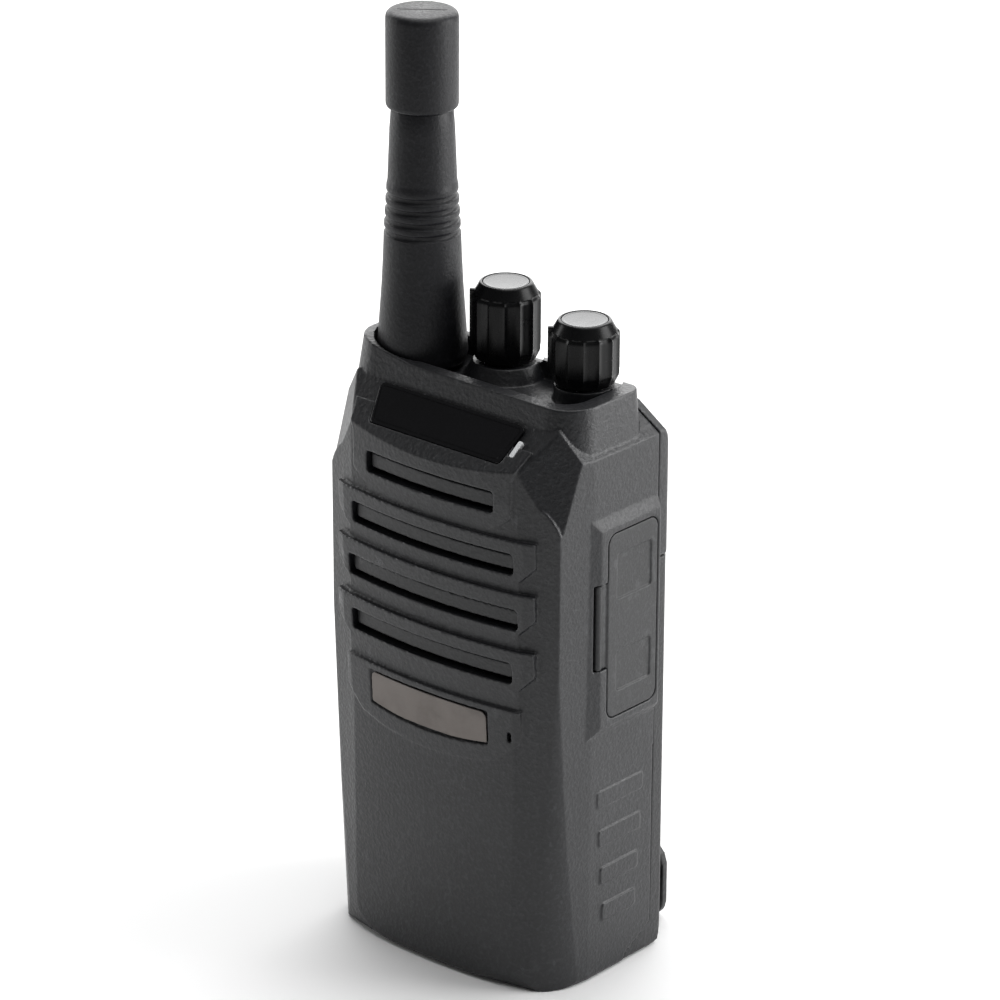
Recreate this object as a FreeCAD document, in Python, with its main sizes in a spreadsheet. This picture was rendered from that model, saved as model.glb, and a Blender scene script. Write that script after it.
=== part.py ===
import FreeCAD, Part
import math
import os

import Sketcher
from FreeCAD import Placement, Rotation, Vector

# Compact two-way radio. Frame: +Z up, the speaker side faces -Y, the jack cover is on +X,
# the talk button is on -X, and Z = 0 is the face that the radio stands on. Millimetres throughout.

DIMENSIONS = (
    ("case_half_width", 29.15, "half width of the case, extended to the top of the side walls"),
    ("base_half_width", 28.6, "half width of the case at its base"),
    ("wall_top_z", 120.0, "height up to which the side walls are drawn before they are trimmed"),
    ("wall", 2.0, "wall thickness of the mouldings"),
    ("crease_y", -6.3, "depth at which the flat sides meet the front bevels"),
    ("corner_y", -15.0, "depth at which the front bevels turn into the front"),
    ("bevel_run", 0.75, "how far each front bevel comes in by its front edge"),
    ("front_plane_y", -21.6, "depth at which the slanted strips beside the front are cut off"),
    ("front_run", 18.05, "how far those strips come in by the front plane"),
    ("front_base_z", 1.2, "height of the base edge at the front plane"),
    ("corner_round", 1.2, "rounding of the lower corners in front view, at the sides"),
    ("bevel_round", 2.0, "rounding of the lower corners in front view, at the bevels' front edge"),
    ("front_corner_round", 9.5, "rounding of the lower corners in front view, at the front plane"),
    ("front_radius", 116.0, "radius of the curved front in plan"),
    ("front_chord_half", 32.0, "half chord over which the front curve is drawn"),
    ("front_chord_y", -15.3, "depth of the front curve at the ends of its chord"),
    ("seam_y", 12.2, "depth of the seam between the front housing and what is behind it"),
    ("slope_y", -18.1, "depth of a point on the sloping head panel"),
    ("slope_z", 105.5, "height of the same point"),
    ("slope_run", 5.6, "run of the head slope"),
    ("slope_rise", 6.0, "rise of the head slope"),
    ("shoulder_z", 113.0, "height of the shoulders under the control deck"),
    ("shoulder_half", 24.7, "half width of the head at shoulder height"),
    ("shoulder_drop", 1.418, "drop of the side shoulders per millimetre outwards"),
    ("deck_z", 113.0, "floor of the control deck"),
    ("rim_z", 116.6, "top of the rim around the control deck"),
    ("head_raise", 0.6, "how far the head panel stands proud"),
    ("bar_raise", 0.9, "how far each speaker bar stands proud at its upper edge"),
    ("slot_height", 4.3, "height of a speaker slot"),
    ("slot_gap", 0.5, "gap between a louvre and the ends of its slot"),
    ("antenna_x", -17.5, "antenna axis"),
    ("antenna_y", -1.3, "antenna axis"),
    ("antenna_foot_r", 8.6, "radius of the antenna at its foot"),
    ("antenna_neck_r", 6.1, "radius of the antenna under its cap"),
    ("antenna_cap_r", 6.8, "radius of the antenna cap"),
    ("antenna_foot_z", 113.7, "underside of the antenna"),
    ("antenna_neck_z", 163.5, "height where the cap begins"),
    ("antenna_top_z", 181.9, "top of the antenna"),
    ("stud_r", 2.5, "radius of the antenna stud"),
    ("running_gap", 0.05, "radial gap of a turning fit"),
    ("channel_x", -1.9, "channel knob axis"),
    ("volume_x", 17.2, "volume knob axis"),
    ("knob_y", 4.5, "both knob axes"),
    ("knob_r", 6.66, "knob radius"),
    ("knob_base_z", 116.3, "underside of the knobs"),
    ("channel_top_z", 131.4, "top of the channel knob"),
    ("volume_top_z", 128.6, "top of the volume knob"),
    ("shaft_r", 2.0, "radius of the control shafts"),
    ("bush_r", 2.6, "radius of the control bushes"),
    ("frame_x", 29.9, "outer face of the jack frame"),
    ("cover_x", 28.35, "inner face of the jack cover"),
    ("cover_face_x", 29.85, "outer face of the jack cover"),
    ("cover_low_z", 54.1, "lower edge of the jack cover"),
    ("cover_high_z", 91.1, "upper edge of the jack cover"),
    ("cover_front_y", -2.9, "front edge of the jack cover"),
    ("cover_rear_y", 11.25, "rear edge of the jack cover"),
    ("hinge_x", 29.05, "axis of the jack cover's strap"),
    ("hinge_y", -5.0, "axis of the jack cover's strap"),
    ("hinge_r", 0.75, "radius of the strap's rolled edge"),
    ("jack_y", 1.2, "depth of the accessory jacks"),
    ("speaker_jack_z", 82.5, "height of the 3.5 mm jack"),
    ("mic_jack_z", 63.2, "height of the 2.5 mm jack"),
    ("speaker_jack_r", 1.8, "bore radius of the 3.5 mm jack"),
    ("mic_jack_r", 1.3, "bore radius of the 2.5 mm jack"),
    ("jack_mouth_x", 28.1, "mouth of the accessory jacks"),
    ("speaker_z", 83.0, "height of the loudspeaker's centre"),
    ("chassis_y", 4.4, "front face of the chassis plate"),
    ("chassis_thick", 1.4, "thickness of the chassis plate"),
    ("board_y", -5.2, "front face of the main board"),
    ("board_thick", 1.2, "thickness of the main board"),
    ("clip_axis_y", 21.2, "belt clip hinge axis"),
    ("clip_axis_z", 60.0, "belt clip hinge axis"),
    ("clip_pin_r", 1.0, "belt clip pin radius"),
    ("pivot_y", 15.2, "axis about which the battery tips"),
    ("pivot_z", 81.5, "axis about which the battery tips"),
)

SLOPE_ANGLE = math.degrees(math.atan2(6.0, 5.6))
FACET_POINT = Vector(24.2, -12.0, 112.9)
FACET_NORMAL = Vector(0.68, -0.72, 0.24)
FRAME = {"XY": Rotation(), "XZ": Rotation(Vector(1, 0, 0), 90), "YZ": Rotation(Vector(1, 1, 1), 120)}
ALONG = {"X": Vector(1, 0, 0), "Y": Vector(0, 1, 0), "Z": Vector(0, 0, 1)}

doc = FreeCAD.newDocument("TwoWayRadio")
nodes = []


# ---------------------------------------------------------------- sizes and the sheet


def value_of(amount):
    return amount.value if isinstance(amount, Size) else float(amount)


def text_of(amount):
    return amount.text if isinstance(amount, Size) else repr(float(amount))


class Size:
    """A number together with the sheet expression that gives it."""

    def __init__(self, value, text):
        self.value = float(value)
        self.text = text

    def joined(self, sign, other, value, swapped=False):
        pair = (text_of(other), self.text) if swapped else (self.text, text_of(other))
        return Size(value, f"({pair[0]} {sign} {pair[1]})")

    def __add__(self, other):
        return self.joined("+", other, self.value + value_of(other))

    def __radd__(self, other):
        return self.joined("+", other, self.value + value_of(other), True)

    def __sub__(self, other):
        return self.joined("-", other, self.value - value_of(other))

    def __rsub__(self, other):
        return self.joined("-", other, value_of(other) - self.value, True)

    def __mul__(self, other):
        return self.joined("*", other, self.value * value_of(other))

    def __rmul__(self, other):
        return self.joined("*", other, self.value * value_of(other), True)

    def __truediv__(self, other):
        return self.joined("/", other, self.value / value_of(other))

    def __neg__(self):
        return Size(-self.value, f"(-1 * {self.text})")


class Dims:
    """The spreadsheet of driving dimensions; each attribute is the Size of one aliased cell."""

    def __init__(self, rows):
        self.sheet = doc.addObject("Spreadsheet::Sheet", "dims")
        for number, (alias, value, meaning) in enumerate(rows, start=1):
            self.sheet.set(f"A{number}", str(value))
            self.sheet.setAlias(f"A{number}", alias)
            self.sheet.set(f"B{number}", meaning)
            setattr(self, alias, Size(value, f"dims.{alias}"))


d = Dims(DIMENSIONS)
doc.recompute()


def bind(feature, name, amount):
    """Set a property, by expression when the amount comes from the sheet."""
    if isinstance(amount, Size):
        feature.setExpression(name, amount.text)
    else:
        setattr(feature, name, amount)


def place(feature, x, y, z, rotation=None):
    """Put a feature at a position whose coordinates may come from the sheet."""
    base = Vector(value_of(x), value_of(y), value_of(z))
    feature.Placement = Placement(base, rotation or Rotation())
    for axis, amount in zip("xyz", (x, y, z)):
        if isinstance(amount, Size):
            feature.setExpression(f"Placement.Base.{axis}", amount.text)


def as_node(feature, label):
    """Make a feature one of the radio's sub-parts; its label names its file."""
    feature.Label = label
    nodes.append(feature)
    return feature


# ---------------------------------------------------------------- sketches


class Bulge:
    """Marks the edge that follows as an arc of this radius; positive bulges to the edge's right."""

    def __init__(self, radius):
        self.radius = radius


def arc_between(start, end, radius):
    """Arc geometry from start to end, bulging to the right of the direction of travel."""
    reach = value_of(radius)
    chord = end - start
    half = chord.Length / 2
    sagitta = abs(reach) - math.sqrt(reach * reach - half * half)
    right = Vector(chord.y, -chord.x, 0).normalize()
    middle = (start + end) * 0.5 + right * math.copysign(sagitta, reach)
    return Part.Arc(start, middle, end)


def end_at(geometry, point):
    """Which end of a line or arc lies at a point: 1 for its start, 2 for its end."""
    return 1 if geometry.StartPoint.distanceToPoint(point) < geometry.EndPoint.distanceToPoint(point) else 2


def read_outline(outline):
    """Split an outline into its corners and, for each, the bulge of the edge that leaves it."""
    corners = [item for item in outline if not isinstance(item, Bulge)]
    bulges = [None] * len(corners)
    seen = 0
    for item in outline:
        if isinstance(item, Bulge):
            bulges[seen - 1] = item.radius
        else:
            seen += 1
    return corners, bulges


def draw(sketch, outline):
    """Draw a closed outline of corners (u, v) or (u, v, rounding) and bind it to the sheet."""
    corners, bulges = read_outline(outline)
    count = len(corners)
    points = [Vector(value_of(c[0]), value_of(c[1]), 0) for c in corners]
    rounds = [value_of(c[2]) if len(c) > 2 else 0.0 for c in corners]
    ways = [(points[(i + 1) % count] - points[i]).normalize() for i in range(count)]
    trims = []
    for i in range(count):
        turn = ways[i].getAngle(-ways[i - 1])
        trims.append(rounds[i] / math.tan(turn / 2) if rounds[i] else 0.0)
    arrive = [points[i] - ways[i - 1] * trims[i] for i in range(count)]
    leave = [points[i] + ways[i] * trims[i] for i in range(count)]
    shapes = []
    for i in range(count):
        j = (i + 1) % count
        if bulges[i] is None:
            shapes.append(Part.LineSegment(leave[i], arrive[j]))
        else:
            shapes.append(arc_between(leave[i], arrive[j], bulges[i]))
    edges = [sketch.addGeometry(shape, False) for shape in shapes]
    links = []
    sized = []

    def fix(kind, amount, *target):
        sized.append((len(links), amount))
        links.append(Sketcher.Constraint(kind, *target, value_of(amount)))

    for i in range(count):
        first, second = sketch.Geometry[edges[i - 1]], sketch.Geometry[edges[i]]
        before = (edges[i - 1], end_at(first, arrive[i]))
        after = (edges[i], end_at(second, leave[i]))
        if rounds[i]:
            inward = ((arrive[i] + leave[i]) * 0.5 - points[i]).normalize()
            reach = math.hypot(trims[i], rounds[i]) - rounds[i]
            arc = sketch.addGeometry(Part.Arc(arrive[i], points[i] + inward * reach, leave[i]), False)
            corner = sketch.addGeometry(Part.Point(points[i]), True)
            curve = sketch.Geometry[arc]
            links.append(Sketcher.Constraint("Tangent", *before, arc, end_at(curve, arrive[i])))
            links.append(Sketcher.Constraint("Tangent", *after, arc, end_at(curve, leave[i])))
            links.append(Sketcher.Constraint("PointOnObject", corner, 1, edges[i - 1]))
            links.append(Sketcher.Constraint("PointOnObject", corner, 1, edges[i]))
            fix("Radius", corners[i][2], arc)
            fix("DistanceX", corners[i][0], -1, 1, corner, 1)
            fix("DistanceY", corners[i][1], -1, 1, corner, 1)
        else:
            links.append(Sketcher.Constraint("Coincident", *before, *after))
            fix("DistanceX", corners[i][0], -1, 1, *after)
            fix("DistanceY", corners[i][1], -1, 1, *after)
        if bulges[i] is not None:
            radius = bulges[i]
            fix("Radius", radius if value_of(radius) > 0 else -radius, edges[i])
    sketch.addConstraint(links)
    for index, amount in sized:
        if isinstance(amount, Size):
            sketch.setExpression(f"Constraints[{index}]", amount.text)


def rectangle(u0, u1, v0, v1, rounding=0):
    if value_of(rounding):
        return [(u0, v0, rounding), (u1, v0, rounding), (u1, v1, rounding), (u0, v1, rounding)]
    return [(u0, v0), (u1, v0), (u1, v1), (u0, v1)]


# ---------------------------------------------------------------- Part features


def free_sketch(name, plane, at, outline):
    """A sketch standing on its own at the given coordinate along the plane's world axis."""
    sketch = doc.addObject("Sketcher::SketchObject", name)
    spots = {"XY": (0, 0, at), "XZ": (0, at, 0), "YZ": (at, 0, 0)}
    place(sketch, *spots[plane], FRAME[plane])
    draw(sketch, outline)
    return sketch


def prism(name, plane, start, end, outline):
    """Outline drawn on a plane and pushed from one world coordinate to another."""
    feature = doc.addObject("Part::Extrusion", name)
    feature.Base = free_sketch(name + "_sketch", plane, start, outline)
    feature.DirMode = "Custom"
    feature.Dir = {"XY": ALONG["Z"], "XZ": ALONG["Y"], "YZ": ALONG["X"]}[plane]
    bind(feature, "LengthFwd", end - start)
    feature.Solid = True
    return feature


def loft(name, *sections):
    feature = doc.addObject("Part::Loft", name)
    feature.Sections = list(sections)
    feature.Solid = True
    feature.Ruled = True
    return feature


def fuse(name, *shapes):
    feature = doc.addObject("Part::MultiFuse", name)
    feature.Shapes = list(shapes)
    feature.Refine = True
    return feature


def common(name, *shapes):
    feature = doc.addObject("Part::MultiCommon", name)
    feature.Shapes = list(shapes)
    return feature


def cut(name, base, *tools):
    feature = doc.addObject("Part::Cut", name)
    feature.Base = base
    feature.Tool = tools[0] if len(tools) == 1 else fuse(name + "_tools", *tools)
    feature.Refine = True
    return feature


def group(name, *shapes):
    feature = doc.addObject("Part::Compound", name)
    feature.Links = list(shapes)
    return feature


def mirrored(name, source):
    feature = doc.addObject("Part::Mirroring", name)
    feature.Source = source
    feature.Normal = ALONG["X"]
    return feature


def box(name, x0, x1, y0, y1, z0, z1):
    feature = doc.addObject("Part::Box", name)
    bind(feature, "Length", x1 - x0)
    bind(feature, "Width", y1 - y0)
    bind(feature, "Height", z1 - z0)
    place(feature, x0, y0, z0)
    return feature


def rod(name, radius, axis, x, y, z, length):
    """Cylinder that starts at a point and runs along a world axis."""
    feature = doc.addObject("Part::Cylinder", name)
    bind(feature, "Radius", radius)
    bind(feature, "Height", length)
    turn = {"X": Rotation(ALONG["Y"], 90), "Y": Rotation(ALONG["X"], -90), "Z": Rotation()}[axis]
    place(feature, x, y, z, turn)
    return feature


def ring(name, outer, inner, axis, x, y, z, length):
    return cut(name, rod(name + "_outer", outer, axis, x, y, z, length),
               rod(name + "_inner", inner, axis, x, y, z, length))


# ---------------------------------------------------------------- PartDesign bodies


def new_body(label):
    body = doc.addObject("PartDesign::Body", label)
    return as_node(body, label)


def body_sketch(body, plane, offset, outline):
    """Sketch attached to one of the body's own origin planes, offset along the plane's normal."""
    sketch = body.newObject("Sketcher::SketchObject", body.Name + "_sketch")
    role = plane + "_Plane"
    support = [f for f in body.Origin.OriginFeatures if f.Role == role][0]
    sketch.AttachmentSupport = (support, [""])
    sketch.MapMode = "FlatFace"
    sketch.AttachmentOffset = Placement(Vector(0, 0, value_of(offset)), Rotation())
    if isinstance(offset, Size):
        sketch.setExpression("AttachmentOffset.Base.z", offset.text)
    draw(sketch, outline)
    return sketch


def pad(body, plane, start, end, outline):
    """Add material between two world coordinates along the plane's axis."""
    low, high = (-end, -start) if plane == "XZ" else (start, end)
    feature = body.newObject("PartDesign::Pad", body.Name + "_pad")
    feature.Profile = body_sketch(body, plane, low, outline)
    bind(feature, "Length", high - low)
    return feature


def pocket(body, plane, start, end, outline):
    """Take material away between two world coordinates along the plane's axis."""
    low, high = (-end, -start) if plane == "XZ" else (start, end)
    doc.recompute()
    before = body.Shape.Volume
    feature = body.newObject("PartDesign::Pocket", body.Name + "_pocket")
    feature.Profile = body_sketch(body, plane, low, outline)
    feature.Reversed = True
    bind(feature, "Length", high - low)
    doc.recompute()
    if body.Shape.Volume > before - 1e-6:
        raise RuntimeError(f"{feature.Label} cuts nothing")
    return feature


def turned(label, x, y, profile, z=0, rotation=None):
    """Body of revolution about its own upright axis through (x, y); the profile is (radius, height)."""
    body = new_body(label)
    feature = body.newObject("PartDesign::Revolution", label + "_turn")
    feature.Profile = body_sketch(body, "XZ", 0, profile)
    feature.ReferenceAxis = (feature.Profile[0], ["V_Axis"])
    feature.Angle = 360
    place(body, x, y, z, rotation)
    return body


def fluted(body, count, centre_r, flute_r, low, high):
    """Cut vertical flutes round a turned body."""
    doc.recompute()
    before = body.Shape.Volume
    groove = body.newObject("PartDesign::Pocket", body.Name + "_flute")
    sketch = body.newObject("Sketcher::SketchObject", body.Name + "_flute_sketch")
    sketch.AttachmentSupport = ([f for f in body.Origin.OriginFeatures if f.Role == "XY_Plane"][0], [""])
    sketch.MapMode = "FlatFace"
    sketch.AttachmentOffset = Placement(Vector(0, 0, value_of(low)), Rotation())
    circle = sketch.addGeometry(Part.Circle(Vector(value_of(centre_r), 0, 0), Vector(0, 0, 1), flute_r), False)
    for kind, amount, target in (("Radius", flute_r, (circle,)), ("DistanceX", centre_r, (-1, 1, circle, 3)),
                                 ("DistanceY", 0, (-1, 1, circle, 3))):
        index = sketch.addConstraint(Sketcher.Constraint(kind, *target, value_of(amount)))
        if isinstance(amount, Size):
            sketch.setExpression(f"Constraints[{index}]", amount.text)
    groove.Profile = sketch
    groove.Reversed = True
    bind(groove, "Length", high - low)
    pattern = body.newObject("PartDesign::PolarPattern", body.Name + "_flutes")
    pattern.Originals = [groove]
    pattern.Axis = ([f for f in body.Origin.OriginFeatures if f.Role == "Z_Axis"][0], [""])
    pattern.Angle = 360
    pattern.Occurrences = count
    body.Tip = pattern
    doc.recompute()
    if body.Shape.Volume > before - 1e-6:
        raise RuntimeError(f"{body.Label} has no flutes")


# ---------------------------------------------------------------- the case's own form


CHIN = ((-4, 27.9, 15.0), (30, 28.15, 7.4), (66, 28.3, 1.2), (124, 28.6, 1.2))


def side_outline(half_low, half_high, floor, rounding):
    """Front view of the side walls and base at one depth."""
    return [(-half_low, floor, rounding), (half_low, floor, rounding),
            (half_high, d.wall_top_z), (-half_high, d.wall_top_z)]


def case_sides(name, inset, rear=d.seam_y):
    """Side walls, front bevels and base of the case, shrunk all round by inset."""
    low, high = d.base_half_width - inset, d.case_half_width - inset
    floor = inset if value_of(inset) > 0.5 else 0.0
    middle = side_outline(low, high, floor, d.corner_round)
    edge = side_outline(low - d.bevel_run, high - d.bevel_run, floor, d.bevel_round)
    front = side_outline(low - d.front_run, high - d.front_run, d.front_base_z + floor,
                         d.front_corner_round - inset)
    bevels = loft(name + "_bevels",
                  free_sketch(name + "_front", "XZ", d.front_plane_y + inset, front),
                  free_sketch(name + "_edge", "XZ", d.corner_y + inset, edge),
                  free_sketch(name + "_middle", "XZ", d.crease_y, middle))
    sides = prism(name + "_sides", "XZ", d.crease_y, rear, middle)
    return fuse(name + "_walls", bevels, sides)


def chin(name, inset):
    """Everything within the front corners, which grow rounder towards the base."""
    edge_y = d.corner_y - 0.05 + inset
    sections = []
    for number, (z, half, rounding) in enumerate(CHIN):
        corner, round_in = half - inset, max(rounding - value_of(inset), 1.2)
        sections.append(free_sketch(f"{name}_chin_{number}", "XY", z, [
            (corner, edge_y, round_in), (32.6 - inset, 30), (inset - 32.6, 30), (-corner, edge_y, round_in),
            (0, -26.4 + inset)]))
    return loft(name + "_chin", *sections)


def front_curve(name, inset):
    """Everything behind the curved front."""
    edge_y = d.front_chord_y + inset
    return prism(name + "_curve", "XY", -4, 124, [
        (-d.front_chord_half, edge_y), Bulge(d.front_radius - inset), (d.front_chord_half, edge_y),
        (d.front_chord_half, 30), (-d.front_chord_half, 30)])


def side_profile(name, inset, top, rear):
    """Everything under the head slope; rear is the back of the outline."""
    front = -26
    tilt = d.slope_rise / d.slope_run
    lift = inset * 1.4655
    slope_front_z = d.slope_z + (front - d.slope_y) * tilt - lift
    slope_top_y = d.slope_y + (top - d.slope_z + lift) / tilt
    return prism(name + "_profile", "YZ", -32, 32, [
        (front, -3), (front, slope_front_z), (slope_top_y, top)] + rear)


def silhouette(name, inset, top):
    """Everything under the side shoulders, in front view."""
    outer = 31
    drop = inset * 1.735
    outer_z = d.shoulder_z - (outer - d.shoulder_half) * d.shoulder_drop - drop
    top_half = d.shoulder_half - (top - d.shoulder_z + drop) / d.shoulder_drop
    return prism(name + "_silhouette", "XZ", -26, 20, [
        (-outer, -3), (outer, -3), (outer, outer_z), (top_half, top), (-top_half, top), (-outer, outer_z)])


def case_form(name, inset, top, rear):
    return common(name, case_sides(name, inset), chin(name, inset), front_curve(name, inset),
                  side_profile(name, inset, top, rear), silhouette(name, inset, top))


def facet_block(name, inset):
    """Large block lying on the corner facet of the right shoulder, on its outer side."""
    feature = doc.addObject("Part::Box", name)
    size = 70.0
    feature.Length = size
    feature.Width = size
    feature.Height = size / 2
    turn = Rotation(ALONG["Z"], FACET_NORMAL)
    corner = FACET_POINT + turn.multVec(Vector(-size / 2, -size / 2, -inset))
    feature.Placement = Placement(corner, turn)
    return feature


def leaning_front(name, half_in, half_out, low, high, proud, sunk=0.0):
    """Column whose curved face leans forward: flush at its foot and proud one bar pitch higher."""
    radius = value_of(d.front_radius)
    centre_y = value_of(d.front_chord_y) + math.sqrt(radius ** 2 - value_of(d.front_chord_half) ** 2)
    front_y = centre_y - radius
    face_r = radius + 0.05 - sunk
    inner_y = centre_y - math.sqrt(face_r ** 2 - half_in ** 2) - front_y
    outer_y = centre_y - math.sqrt(radius ** 2 - half_out ** 2) + 0.4 - front_y
    feature = prism(name, "XY", -1, high - low + 3, [
        (-half_out, 6), (-half_out, outer_y), (-half_in, inner_y), Bulge(face_r), (half_in, inner_y),
        (half_out, outer_y), (half_out, 6)])
    lean = math.degrees(math.atan2(value_of(proud), 10.6))
    feature.Placement = Placement(Vector(0, front_y, low), Rotation(ALONG["X"], lean))
    return feature


# ---------------------------------------------------------------- front housing


SLOTS = ((15.6, 101.1), (19.9, 89.7), (20.9, 78.8), (19.9, 67.9))
BARS = ((92.4, 87.5, 82.0), (82.0, 77.0, 70.6), (70.6, 65.6, 58.3))
BUTTONS = (("talk_button", 65.0, 92.0, 1.2), ("side_button_upper", 52.0, 60.5, 0.8),
           ("side_button_lower", 41.5, 50.0, 0.8))
BUTTON_FRONT = -4.4
BUTTON_REAR = 3.2
SCREWS = ((-22.0, 12.0, -14.6), (22.0, 12.0, -14.6), (-22.0, 34.0, -15.4), (22.0, 34.0, -15.4),
          (-22.5, 96.5, -12.4), (22.5, 96.5, -12.4))
MIC_X = 19.3
MIC_Z = 52.7


def speaker_bar(name, top, side_z, low):
    """One raised bar around a slot: square upper edge, chamfered lower corners, fading downwards."""
    half_in, half_out, chamfer = 22.2, 24.3, 3.3
    inner = half_out - chamfer
    outline = [(-half_out, top), (-half_out, side_z), (-inner, side_z - chamfer), (-inner, low),
               (inner, low), (inner, side_z - chamfer), (half_out, side_z), (half_out, top)]
    return common(name, leaning_front(name + "_face", half_in, half_out, low, top, d.bar_raise),
                  prism(name + "_outline", "XZ", -24, -14, outline))


def badge_bar():
    """Raised bar around the lower badge, with a bowed lower edge."""
    outline = [(-21.6, 58.3), (-21.6, 51.5), (-17.4, 47.6), Bulge(62), (17.4, 47.6), (21.6, 51.5), (21.6, 58.3)]
    return common("badge_bar", leaning_front("badge_bar_face", 20.3, 22.3, 44.5, 58.3, 0.6),
                  prism("badge_bar_outline", "XZ", -24, -14, outline))


def head_panel():
    """Raised head panel: the name plate slope and the first speaker bar in one."""
    outline = [(-15.6, 92.5), (-15.6, 93.6), (-19.4, 96.6), (-19.5, 104), (-23.2, 113.6), (-23.2, 116),
               (23.2, 116), (23.2, 113.6), (19.5, 104), (19.4, 96.6), (15.6, 93.6), (15.6, 92.5)]
    top = d.shoulder_z + 0.5
    proud = case_form("head_form", -d.head_raise, top, [(0, top), (0, -3)])
    return common("head_panel", proud, leaning_front("head_face", 21.5, 24.5, 92.5, 120, d.bar_raise),
                  prism("head_outline", "XZ", -26, -6, outline))


def on_slope(feature, along, out, side=0.0):
    """Lay a feature drawn flat on the head slope; out is measured outwards from the slope's face."""
    turn = Rotation(ALONG["X"], SLOPE_ANGLE)
    feature.Placement = Placement(Vector(0, -18.1, 106.4) + turn.multVec(Vector(side, along, out)), turn)
    return feature


def name_plate_outline(margin):
    low, high = 15.85 + margin, 17.85 + margin
    return [(-low, -margin, 1.0), (low, -margin, 1.0), (high, 8.2 + margin, 1.0), (-high, 8.2 + margin, 1.0)]


def lens_outline(margin):
    """Signal lamp window: a small slanted lozenge at the right of the name plate."""
    half = 0.55 + margin
    low, high = 1.9 - margin, 5.4 + margin
    return [(17.6 - half, low, 0.4), (17.6 + half, low, 0.4),
            (18.2 + half, high, 0.4), (18.2 - half, high, 0.4)]


def badge_outline(margin):
    half, top, low = 14.3 + margin, 56.6 + margin, 50.3 - margin
    return [(-half, top), (-half, low), Bulge(90), (half, low), (half, top)]


def badge_face(name, sunk):
    return leaning_front(name, 20.3, 22.3, 44.5, 58.3, 0.6, sunk)


def deck_block():
    """Block that carries the controls, leaning inwards towards its rim, higher round the antenna."""
    foot = free_sketch("deck_foot", "XY", 104.5, [
        (-28.75, -13.2, 7.6), (28.75, -13.2, 7.6), (28.75, 9.2, 3.0), (-28.75, 9.2, 3.0)])
    crown = free_sketch("deck_crown", "XY", 119.6, [
        (-27.4, -10.44, 6.4), (27.4, -10.44, 6.4), (27.4, 8.6, 2.5), (-27.4, 8.6, 2.5)])
    top = prism("deck_top", "XZ", -20, 20, [
        (-32, 119.2), (-25, 118.8), (-12, d.rim_z), (32, d.rim_z), (32, 130), (-32, 130)])
    return cut("deck_block", loft("deck_loft", foot, crown), top)


def nut_wells(name):
    """Room for the nuts at the feet of the two control bushes."""
    return [rod(f"{name}_{i}", 3.7, "Z", x, d.knob_y, d.deck_z, 8)
            for i, x in enumerate((d.channel_x, d.volume_x))]


def control_collars():
    """Cone under the channel knob and plain collar under the volume knob, trimmed at the rear rim."""
    cone = doc.addObject("Part::Cone", "channel_cone")
    cone.Radius1 = 7.8
    cone.Radius2 = 6.2
    bind(cone, "Height", d.knob_base_z - d.deck_z - 0.3)
    place(cone, d.channel_x, d.knob_y, d.deck_z)
    collar = rod("volume_collar", 5.7, "Z", d.volume_x, d.knob_y, d.deck_z, d.knob_base_z - d.deck_z - 0.3)
    bound = box("collar_bound", -26, 26, -10, 8.6, 112, 120)
    return cut("control_collars", common("collars", fuse("collar_pair", cone, collar), bound),
               *nut_wells("collar_well"))


def deck_recess():
    """Hollow of the control deck: a tray for the knobs and a round well for the antenna."""
    tray = prism("deck_tray", "XY", d.deck_z, 125, rectangle(-20, 24.3, -8.3, 7.2, 5.0))
    well = rod("antenna_well", d.antenna_foot_r + 0.45, "Z", d.antenna_x, d.antenna_y, d.deck_z, 12)
    scallops = [rod(f"scallop_{i}", d.knob_r + 0.5, "Z", x, d.knob_y, d.knob_base_z - 0.3, 9)
                for i, x in enumerate((d.channel_x, d.volume_x))]
    return [tray, well] + scallops + nut_wells("deck_well")


def jack_frame():
    """Raised frame around the jack cover, bevelled at its front, top and bottom."""
    foot = free_sketch("jack_frame_foot", "YZ", 27.3, [
        (-11.2, 48.6), (12.15, 48.6), (12.15, 99.9), (-11.2, 99.9)])
    face = free_sketch("jack_frame_face", "YZ", d.frame_x, [
        (-4.9, 52.6), (12.15, 52.6), (12.15, 92.4), (-4.9, 92.4)])
    return loft("jack_frame", foot, face)


def jack_openings():
    """Seat of the jack cover with the notch for its strap and the holes for the jacks."""
    gap = 0.15
    seat = prism("cover_seat", "YZ", d.cover_x - gap, 32, rectangle(
        d.cover_front_y - gap, d.cover_rear_y + gap, d.cover_low_z - gap, d.cover_high_z + gap, 2.2))
    notch = box("strap_notch", d.hinge_x - d.hinge_r - gap, 32, d.hinge_y - 1.4, 0, 64.6, 81.9)
    holes = [rod(f"jack_hole_{i}", 3.15, "X", 20, d.jack_y, z, 12)
             for i, z in enumerate((d.speaker_jack_z, d.mic_jack_z))]
    return [seat, notch] + holes


def grip_ribs():
    """Four raised grip bars low on the side, each shorter than the one above."""
    ribs = []
    for number, (low, front, rear) in enumerate(
            ((35.3, -4.6, 9.4), (27.1, -4.0, 8.8), (19.1, -3.4, 8.2), (11.3, -2.8, 7.6))):
        foot = free_sketch(f"rib_{number}_foot", "YZ", 27.2, rectangle(
            front - 0.5, rear + 0.5, low - 1.1, low + 4.6, 0.9))
        face = free_sketch(f"rib_{number}_face", "YZ", 29.0, rectangle(
            front + 0.4, rear - 0.4, low + 0.4, low + 3.7, 0.6))
        ribs.append(loft(f"rib_{number}", foot, face))
    return ribs


def button_openings():
    gap = 0.15
    return [prism(f"{name}_opening", "YZ", -33, -25, rectangle(
        BUTTON_FRONT - gap, BUTTON_REAR + gap, low - gap, high + gap, 2.0 + gap))
        for name, low, high, travel in BUTTONS]


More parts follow.
